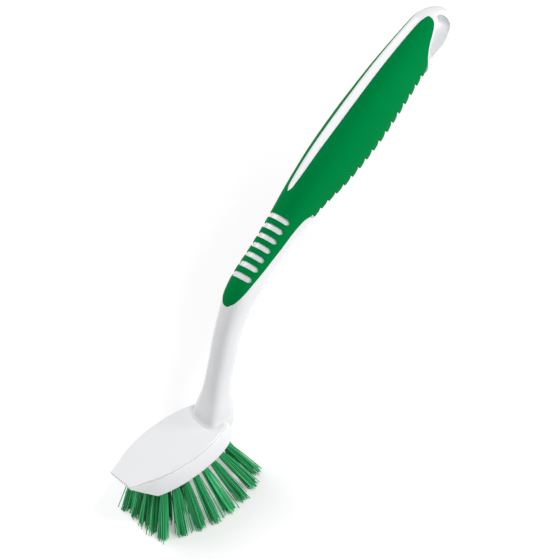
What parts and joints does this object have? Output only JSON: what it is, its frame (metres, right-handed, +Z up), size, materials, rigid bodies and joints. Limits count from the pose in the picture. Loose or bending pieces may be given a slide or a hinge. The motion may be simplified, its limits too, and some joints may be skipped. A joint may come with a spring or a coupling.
{
  "type": "kitchen brush",
  "caption": "Hand-held dish and kitchen scrubbing brush: a scraper-edged oval bristle block on a bent neck, with a soft ribbed grip and a hang loop in the handle's end.",
  "frame": {"origin": "middle of the bounding box's base, on the floor under the bristle tips", "axes": "+X from the scraper edge towards the hang loop, +Y across the brush, +Z up"},
  "size_m": [0.2442, 0.0554, 0.1967],
  "materials": {
    "white_plastic": "white injection-moulded plastic with a soft gloss",
    "green_soft_grip": "satin soft-touch plastic moulded over the core",
    "green_nylon": "fine green nylon filaments with a slight sheen",
    "anchor_wire": "bare flat wire"
  },
  "bodies": {
    "root": {"anchor_01": "anchor_wire", "anchor_02": "anchor_wire", "anchor_03": "anchor_wire", "anchor_04": "anchor_wire", "anchor_05": "anchor_wire", "anchor_06": "anchor_wire", "anchor_07": "anchor_wire", "anchor_08": "anchor_wire", "anchor_09": "anchor_wire", "anchor_10": "anchor_wire", "anchor_11": "anchor_wire", "anchor_12": "anchor_wire", "anchor_13": "anchor_wire", "anchor_14": "anchor_wire", "anchor_15": "anchor_wire", "anchor_16": "anchor_wire", "anchor_17": "anchor_wire", "anchor_18": "anchor_wire", "anchor_19": "anchor_wire", "anchor_20": "anchor_wire", "anchor_21": "anchor_wire", "anchor_22": "anchor_wire", "anchor_23": "anchor_wire", "anchor_24": "anchor_wire", "grip_sleeve": "green_soft_grip", "handle_body": "white_plastic", "tuft_01": "green_nylon", "tuft_02": "green_nylon", "tuft_03": "green_nylon", "tuft_04": "green_nylon", "tuft_05": "green_nylon", "tuft_06": "green_nylon", "tuft_07": "green_nylon", "tuft_08": "green_nylon", "tuft_09": "green_nylon", "tuft_10": "green_nylon", "tuft_11": "green_nylon", "tuft_12": "green_nylon", "tuft_13": "green_nylon", "tuft_14": "green_nylon", "tuft_15": "green_nylon", "tuft_16": "green_nylon", "tuft_17": "green_nylon", "tuft_18": "green_nylon", "tuft_19": "green_nylon", "tuft_20": "green_nylon", "tuft_21": "green_nylon", "tuft_22": "green_nylon", "tuft_23": "green_nylon", "tuft_24": "green_nylon"}
  },
  "joints": []
}
